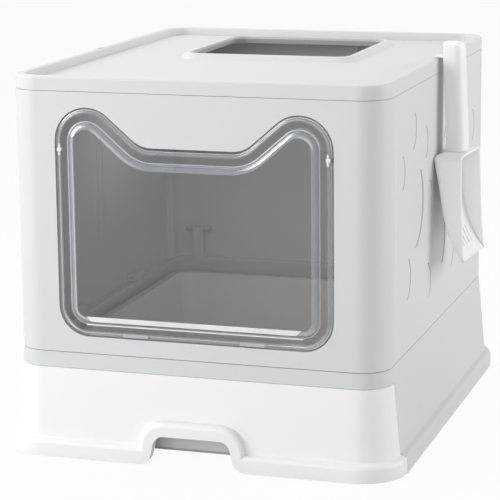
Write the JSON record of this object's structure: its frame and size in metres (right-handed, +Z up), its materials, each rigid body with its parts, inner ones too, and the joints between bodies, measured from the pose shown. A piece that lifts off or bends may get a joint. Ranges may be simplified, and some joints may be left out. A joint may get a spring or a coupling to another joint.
{
  "type": "top entry litter box",
  "caption": "Folding top entry litter box with a framed clear flap door, a recessed lid, a pull-out litter drawer under the cabin and a scoop hooked on the lid's rim.",
  "frame": {"origin": "on the ground under the middle of the body, at the foot of the base's centre pad", "axes": "+Z up, -Y towards the front with the flap door, +X to the right seen from the front, where the scoop hangs"},
  "size_m": [0.4273, 0.5, 0.3975],
  "materials": {
    "base_plastic": "moulded, satin",
    "drawer_plastic": "moulded, satin",
    "panel_plastic": "moulded, satin",
    "clear_plastic": "clear, lightly smoked, polished",
    "scoop_plastic": "moulded, satin",
    "pin_plastic": "moulded, plain"
  },
  "bodies": {
    "base": {"base_frame": "base_plastic", "left_hinge_pins": "pin_plastic", "right_hinge_pins": "pin_plastic", "front_hinge_pins": "pin_plastic", "back_hinge_pins": "pin_plastic"},
    "drawer": {"litter_drawer": "drawer_plastic"},
    "front": {"front_panel": "panel_plastic"},
    "door": {"flap_door": "clear_plastic"},
    "back": {"back_panel": "panel_plastic"},
    "left_side": {"left_panel": "panel_plastic"},
    "right_side": {"right_panel": "panel_plastic"},
    "top": {"lid": "panel_plastic", "lid_clips": "panel_plastic"},
    "hanging_scoop": {"scoop": "scoop_plastic"}
  },
  "joints": [
    {"name": "drawer_slide", "type": "slide", "parent": "base", "child": "drawer", "axis": [0, -1, 0], "range_m": [0, 0.4]},
    {"name": "flap_door_swing", "type": "hinge", "parent": "front", "child": "door", "pos_m": [0, -0.2322, 0.309], "axis": [1, 0, 0], "range_deg": [-80, 80]},
    {"name": "left_panel_fold", "type": "hinge", "parent": "base", "child": "left_side", "pos_m": [-0.182, 0, 0.111], "axis": [0, 1, 0], "range_deg": [0, 90]},
    {"name": "right_panel_fold", "type": "hinge", "parent": "base", "child": "right_side", "pos_m": [0.182, 0, 0.118], "axis": [0, -1, 0], "range_deg": [0, 90]},
    {"name": "front_panel_pull", "type": "slide", "parent": "base", "child": "front", "axis": [0, -1, 0], "range_m": [0, 0.12]},
    {"name": "back_panel_pull", "type": "slide", "parent": "base", "child": "back", "axis": [0, 1, 0], "range_m": [0, 0.12]},
    {"name": "lid_lift", "type": "slide", "parent": "base", "child": "top", "axis": [0, 0, 1], "range_m": [0, 0.12]},
    {"name": "scoop_lift", "type": "slide", "parent": "top", "child": "hanging_scoop", "axis": [0, 0, 1], "range_m": [0, 0.1]}
  ]
}
